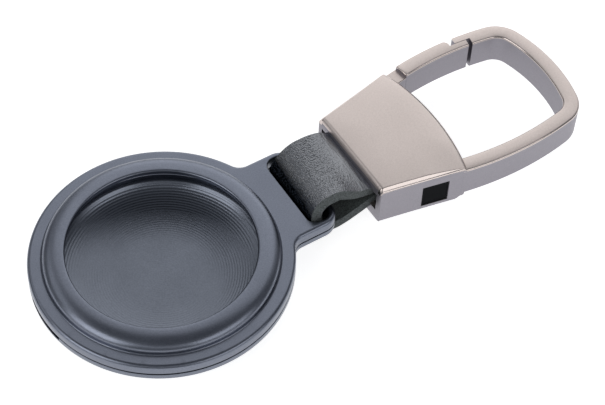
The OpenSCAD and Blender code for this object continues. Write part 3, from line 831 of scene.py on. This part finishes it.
nose_tip_x = face_x + 27.985 * MM
nose_tip_r = 0.5 * MM
hook_start = side_angle(nose_tip_x)
head_end = side_angle(corner_x - 0.35 * MM)
down_side = Vector((side_c.x, -side_c.y))
down_corner = Vector((corner_c.x, -corner_c.y))
hook_bm = bmesh.new()
swept(hook_bm, arm_section(), hook_start, [
    (side_c, side_end - hook_start, 12), (corner_c, nose_end - side_end, 16),
    (nose_c, -2 * nose_end, 44), (down_corner, nose_end - side_end, 16),
    (down_side, side_end - head_end, 30)])
hook = make_piece("hook_arm", hook_bm)
reshape(clasp, hook, "UNION")


def box_cutter(name, low, high):
    """A block between two corners, to cut with."""
    bm = bmesh.new()
    bmesh.ops.create_cube(bm, size=1)
    bmesh.ops.scale(bm, verts=bm.verts, vec=[b - a for a, b in zip(low, high)])
    bmesh.ops.translate(bm, verts=bm.verts, vec=[(a + b) / 2 for a, b in zip(low, high)])
    return make_piece(name, bm)


mouth_half = 7.73 * MM
mouth_gap = 0.02 * MM
cavity_half = leather_w / 2 + leather_t / 4
mouth_high = mid_z + leather_t + mouth_gap
cavity_low = anchor_z - bar_r - skive_t - 0.15 * MM
reshape(clasp, box_cutter("mouth_cutter", (face_x - over, -mouth_half, mid_z - leather_t - mouth_gap),
                          (inside, mouth_half, mouth_high)))
reshape(clasp, box_cutter("cavity_cutter", (face_x + 0.8 * MM, -cavity_half, cavity_low),
                          (anchor_x + 2.3 * MM, cavity_half, mouth_high - mouth_gap)))
window_w = 4.4 * MM
window_h = 4.48 * MM
reshape(clasp, box_cutter("window_cutter",
                          (anchor_x - window_w / 2, -corner_y - over, anchor_z - window_h / 2),
                          (anchor_x + window_w / 2, -cavity_half + over, anchor_z + window_h / 2)))
hub_r = 1.9 * MM
hub_x = corner_x - 0.7 * hub_r
hub_y = head_side_y(hub_x) - hub_r
root_t = 4.2 * MM
cheek_gap = 0.06 * MM
fork_bm = bmesh.new()
fork_r = hub_r + cheek_gap
fork_start = fork_bm.verts.new((hub_x - fork_r, corner_y + over, mid_z - root_t / 2 - cheek_gap))
fork_turn = bend(fork_bm, straight(fork_bm, fork_start, hub_x - fork_r, hub_y), (hub_x, hub_y), 60, 16)
fork_end = straight(fork_bm, fork_turn, corner_x + 4 * MM, fork_turn.co.y - 4.4 * MM)
fork_top = straight(fork_bm, fork_end, corner_x + 4 * MM, corner_y + over)
fork_bm.edges.new((fork_top, fork_start))
fork_face = bmesh.ops.contextual_create(fork_bm, geom=list(fork_bm.edges))["faces"]
raised(fork_bm, fork_face, root_t + 2 * cheek_gap)
reshape(clasp, make_piece("fork_cutter", fork_bm))
tongue_w = 1.118 * MM
lap_gap = 0.1 * MM


def lap_cutter(name, from_x, to_x, depth_a, depth_b):
    """A curved block between two depths below the outside of the far arm."""
    bm = bmesh.new()
    tall = arm_t
    section = [(arm_w / 2 - depth_a, -tall), (arm_w / 2 - depth_a, tall), (arm_w / 2 - depth_b, tall),
               (arm_w / 2 - depth_b, -tall)]
    swept(bm, section, side_angle(from_x), [(side_c, side_angle(to_x) - side_angle(from_x), 12)])
    return make_piece(name, bm)


def tip_cutter(name, x, radius, way):
    """A block that rounds the far arm's outer corner where the arm ends, forwards for a way of 1
    and backwards for -1."""
    turn = math.radians(side_angle(x))
    out = Vector((math.cos(turn), math.sin(turn)))
    along = Vector((math.sin(turn), -math.cos(turn))) * way
    centre = side_c + out * (side_r - radius) - along * radius
    reach = radius + over
    plan = [centre + (out * c + along * s) for c, s in arc((0, 0), radius, 0, 90, 8)]
    plan += [centre + along * reach, centre + (out + along) * reach, centre + out * reach]
    bm = bmesh.new()
    raised(bm, [bm.faces.new([bm.verts.new((p.x, p.y, mid_z - arm_t)) for p in plan])], 2 * arm_t)
    return make_piece(name, bm)


tip_x = corner_x + 12.675 * MM
tongue_end = tip_x + 3.0 * MM
hook_end = tongue_end + 0.75 * MM
reshape(clasp, lap_cutter("nose_cutter", tip_x - over, hook_end, arm_w - tongue_w - lap_gap,
                          arm_w + over))
reshape(clasp, tip_cutter("nose_tip_cutter", nose_tip_x, nose_tip_r, -1))


def satin_plate(name, colour, rough, sparkle):
    """Satin gunmetal plating on die-cast zinc: a warm grey metal with a fine 0.2 mm grain that
    gives a soft gloss and tiny bright points."""
    material, tree = new_material(name)
    place = add_node(tree, "ShaderNodeTexCoord").outputs["Object"]
    grain = grains(tree, place, 0.2 * MM, 3)
    surface(tree, {"Base Color": two_tone(tree, grain, colour), "Metallic": 1, "Roughness": rough,
                   "Normal": bumped(tree, grain, sparkle, 0.02 * MM)})
    return material


# The tops' lighter, warmer colour is painted light; the sides' darker, cooler colour is painted shade.
paint(clasp, satin_plate("brushed gunmetal with painted top light", ("bcb1ac", "d6cbc6"), 0.36, 0.3),
      satin_plate("blasted gunmetal with painted side shade", ("8c8990", "a09da4"), 0.5, 0.3),
      satin_plate("polished gunmetal edge", ("c2b7b2", "d0c5c0"), 0.16, 0.1))


def plate_faces(piece):
    """Gives the tops the brushed finish with its painted light, the upright sides the blasted one
    with its painted shade, and the narrow rounds between them, which handling has polished, the
    bright one."""
    for face in piece.data.polygons:
        x, y, z = face.center
        narrow = x > corner_x or abs(y) > head_side_y(x) - 0.75 * MM
        face.material_index = 0 if face.normal.z > 0.35 else 1
        if narrow and 0.1 < face.normal.z < 0.9:
            face.material_index = 2


plate_faces(clasp)
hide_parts("clasp_body")
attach(clasp, "clasp")


# Window plug: a black nylon block pressed into the square window in the clasp's side, which
# carries the anchor bar's near end. Moulded, matt, and a little below the casting's side.
plug_low, plug_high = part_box("window_plug")
plug_bm = bmesh.new()
plug_sink = 0.2 * MM
plug_corners = [(x, -head_side_y(x) + plug_sink) for x in (plug_low.x, plug_high.x)]
plug_face = [(plug_low.x, plug_high.y), plug_corners[0], plug_corners[1], (plug_high.x, plug_high.y)]
plug_lid = plug_bm.faces.new([plug_bm.verts.new((x, y, plug_low.z)) for x, y in plug_face])
raised(plug_bm, [plug_lid], plug_high.z - plug_low.z)
bevelled(plug_bm, list(plug_bm.edges), 0.08 * MM, 3)
plug = make_piece("side_window_plug", plug_bm)
paint(plug, moulded_rubber("moulded black nylon", ("07080b", "0d0f13"), 0.7, 0.08))
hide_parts("window_plug")
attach(plug, "clasp")


# Gate: the sprung arm that closes the hook. A second zinc casting with the same plating: a root
# and hub in the head's fork, the arm itself, and a tongue that laps behind the hook's nose.
root_end = corner_x + 2.75 * MM
gate_bm = bmesh.new()
gate_round = 0.2 * MM
gate_tip_r = 1.1 * MM
gate_chamfer = 0.15 * MM
root_gap = 0.04 * MM
gate_start = side_angle(root_end + gate_round)
swept(gate_bm, arm_section(), gate_start, [(side_c, side_angle(tongue_end) - gate_start, 30)])
lid = min((face for face in gate_bm.faces if len(face.verts) > 8),
          key=lambda face: face.calc_center_median().x)
way = lid.normal.copy()
flat_way = Vector((-way.y, way.x, 0))
gate_end = lid.calc_center_bounds()
for turn in (30, 60, 90):
    sines = [math.sin(math.radians(t)) for t in (turn - 30, turn)]
    insets = [gate_round * (1 - math.cos(math.radians(t))) for t in (turn - 30, turn)]
    made = bmesh.ops.extrude_face_region(gate_bm, geom=[lid])["geom"]
    bmesh.ops.delete(gate_bm, geom=[lid], context="FACES_ONLY")
    lid = next(item for item in made if isinstance(item, bmesh.types.BMFace))
    for vertex in lid.verts:
        reach = vertex.co - gate_end
        side, height = reach.dot(flat_way), reach.z
        side *= (arm_w / 2 - insets[1]) / (arm_w / 2 - insets[0])
        height *= (arm_t / 2 - insets[1]) / (arm_t / 2 - insets[0])
        vertex.co = gate_end + way * gate_round * sines[1] + flat_way * side + Vector((0, 0, height))
gate = make_piece("gate_arm", gate_bm, cast_crisp)
reshape(gate, lap_cutter("tongue_cutter", tip_x, tongue_end + 2 * MM, -over, arm_w - tongue_w))
reshape(gate, tip_cutter("gate_tip_cutter", tip_x, gate_tip_r, 1))
root_bm = bmesh.new()
root_half = root_t / 2
root_side = arm_w / 2 - root_gap
root_section = [(root_side, -root_half), (root_side, root_half), (-root_side, root_half),
                (-root_side, -root_half)]
root_start = side_angle(hub_x)
swept(root_bm, root_section, root_start, [(side_c, side_angle(root_end + 1 * MM) - root_start, 10)])
bevelled(root_bm, [edge for edge in root_bm.edges if edge.calc_face_angle(0) > 1.0], gate_chamfer, 3)
reshape(gate, make_piece("gate_root", root_bm, cast_crisp), "UNION")
hub_bm = bmesh.new()
turned(hub_bm, [(0, -root_half), (hub_r - gate_chamfer, -root_half), (hub_r, -root_half + gate_chamfer),
                (hub_r, root_half - gate_chamfer), (hub_r - gate_chamfer, root_half), (0, root_half)],
       (hub_x, hub_y, mid_z))
reshape(gate, make_piece("gate_hub", hub_bm, cast_crisp), "UNION")
pin_r = 0.75 * MM
pin_gap = 0.05 * MM
coil_high = root_t * 0.42
bore_bm = bmesh.new()
turned(bore_bm, [(0, -root_half - over), (hub_r + cheek_gap, -root_half - over),
                 (hub_r + cheek_gap, -root_half + coil_high), (pin_r + pin_gap, -root_half + coil_high),
                 (pin_r + pin_gap, root_half + over), (0, root_half + over)], (hub_x, hub_y, mid_z))
reshape(gate, make_piece("gate_bore", bore_bm, cast_crisp))
paint(gate, *clasp.data.materials)
plate_faces(gate)
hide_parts("gate")
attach(gate, "gate_body")


# Gate pin: a drawn steel pin through both cheeks of the head, riveted flush, that the gate
# turns on.
pin_low, pin_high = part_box("gate_pin")
pin_bm = bmesh.new()
round_bar(pin_bm, pin_low, pin_high, pin_r, 0.1 * MM, 2)
pin = make_piece("hinge_pin", pin_bm)
paint(pin, bar.data.materials[0])
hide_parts("gate_pin")
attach(pin, "clasp")


# Gate spring: a torsion spring of music wire round the pin, one leg on the gate and one on the
# head. Cold drawn, with the grey sheen of its drawing soap.
wire_r = 0.18 * MM
spring_bm = bmesh.new()
coil_r = (pin_r + hub_r) / 2
coil_turns = 3
pitch = coil_high / (coil_turns + 1.5)
coil_z = mid_z - root_half + 2 * wire_r
leg = hub_r * 1.35
section = bmesh.ops.create_circle(spring_bm, segments=12, radius=wire_r, cap_ends=False)["verts"]
bmesh.ops.rotate(spring_bm, verts=section, cent=(0, 0, 0),
                 matrix=Matrix.Rotation(math.radians(90), 3, "Y"))
bmesh.ops.translate(spring_bm, verts=section, vec=(hub_x, hub_y - coil_r, coil_z))
start_loop = list(spring_bm.edges)
coil_steps = 36 * coil_turns
coiled = bmesh.ops.spin(spring_bm, geom=section + start_loop, cent=(hub_x, hub_y, 0), axis=(0, 0, -1),
                        angle=coil_turns * math.tau, steps=coil_steps,
                        dvec=(0, 0, pitch * coil_turns / coil_steps))["geom_last"]
end_loop = [item for item in coiled if isinstance(item, bmesh.types.BMEdge)]
for wire_end, reach in ((start_loop, leg), (end_loop, -leg / 2)):
    made = bmesh.ops.extrude_edge_only(spring_bm, edges=wire_end)["geom"]
    bmesh.ops.translate(spring_bm, verts=verts_in(made), vec=(reach, 0, 0))
    bmesh.ops.contextual_create(spring_bm, geom=far_edges(made))
spring = make_piece("torsion_spring", spring_bm)
paint(spring, drawn_steel("music wire", "9c9da2", 0.35))
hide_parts("gate_spring")
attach(spring, "clasp")


# Floor: a plain pale sheet under the holder. It is matt, it shows as white to the eye and in
# the metal, and it keeps the holder's own shadow.
floor_bm = bmesh.new()
bmesh.ops.create_grid(floor_bm, x_segments=1, y_segments=1, size=3)
bmesh.ops.translate(floor_bm, verts=floor_bm.verts, vec=(0, 0, -0.05 * MM))
floor = make_piece("studio_floor", floor_bm)
paper, tree = new_material("white paper sweep")
path = add_node(tree, "ShaderNodeLightPath").outputs
eye = combined(tree, "MAXIMUM", path["Is Camera Ray"], path["Is Glossy Ray"])
seen = combined(tree, "MAXIMUM", eye, path["Is Transmission Ray"])
matt = add_node(tree, "ShaderNodeBsdfDiffuse", {"Color": linear("d8d8d8")})
glow = add_node(tree, "ShaderNodeEmission", {"Strength": combined(tree, "MULTIPLY", seen, 0.8)})
both = add_node(tree, "ShaderNodeAddShader", {0: matt.outputs[0], 1: glow.outputs[0]})
add_node(tree, "ShaderNodeOutputMaterial", {"Surface": both.outputs[0]})
paint(floor, paper)


# Light: wide low banks beyond the holder that the flat tops reflect, soft boxes at the left and
# the right whose streaks run along the rounds, a weak one in front and a dim room.
def soft_box(name, bearing, height, distance, wide, tall, level):
    """An area light of that radiance, at a compass bearing and height in degrees."""
    light = bpy.data.lights.new(name, "AREA")
    light.shape = "RECTANGLE"
    light.size = wide
    light.size_y = tall
    light.energy = level * math.pi * wide * tall
    lamp = bpy.data.objects.new(name, light)
    around, above = math.radians(bearing), math.radians(height)
    way = Vector((math.cos(around) * math.cos(above), math.sin(around) * math.cos(above),
                  math.sin(above)))
    lamp.location = middle + way * distance
    lamp.rotation_euler = way.to_track_quat("Z", "Y").to_euler()
    scene.collection.objects.link(lamp)


middle = (cad_low + cad_high) / 2
soft_box("far_bank", 47, 39, 0.9, 1.0, 1.05, 0.7)
soft_box("far_wide_bank", 50, 36, 0.95, 2.0, 0.85, 0.22)
soft_box("far_low_bank", 55, 20, 0.85, 0.9, 0.35, 0.4)
soft_box("left_soft_box", 183, 32, 0.75, 0.55, 0.5, 2.0)
soft_box("right_soft_box", 287, 31, 0.75, 0.6, 0.4, 1.4)
soft_box("left_high_box", 128, 42, 0.75, 0.4, 0.35, 0.7)
soft_box("front_soft_box", 238, 38, 0.75, 0.35, 0.25, 0.5)
room = bpy.data.worlds.new("dim room")
room.use_nodes = True
room.node_tree.nodes["Background"].inputs["Color"].default_value = (0.5, 0.52, 0.56, 1)
room.node_tree.nodes["Background"].inputs["Strength"].default_value = 0.32
scene.world = room


# Camera: the photograph's own view, from in front of the window's side and well above.
camera_data = bpy.data.cameras.new("camera")
frame_w = 605
focal_px = 1761.0
camera_data.sensor_width = 36
camera_data.lens = focal_px * camera_data.sensor_width / frame_w
elevation = math.radians(52.302)
azimuth = math.radians(-34.644)
roll = math.radians(2.788)
distance = 268.703 * MM
target = Vector((23.095, -2.677, 6.0)) * MM
forward = Vector((-math.sin(azimuth) * math.cos(elevation), math.cos(azimuth) * math.cos(elevation),
                  -math.sin(elevation)))
level_right = Vector((math.cos(azimuth), math.sin(azimuth), 0))
level_up = level_right.cross(forward)
right = math.cos(roll) * level_right + math.sin(roll) * level_up
up = -math.sin(roll) * level_right + math.cos(roll) * level_up
camera = bpy.data.objects.new("camera", camera_data)
camera.matrix_world = Matrix.Translation(target - forward * distance) @ \
    Matrix((right, up, -forward)).transposed().to_4x4()
camera_data.clip_start = 0.01
scene.collection.objects.link(camera)
scene.camera = camera
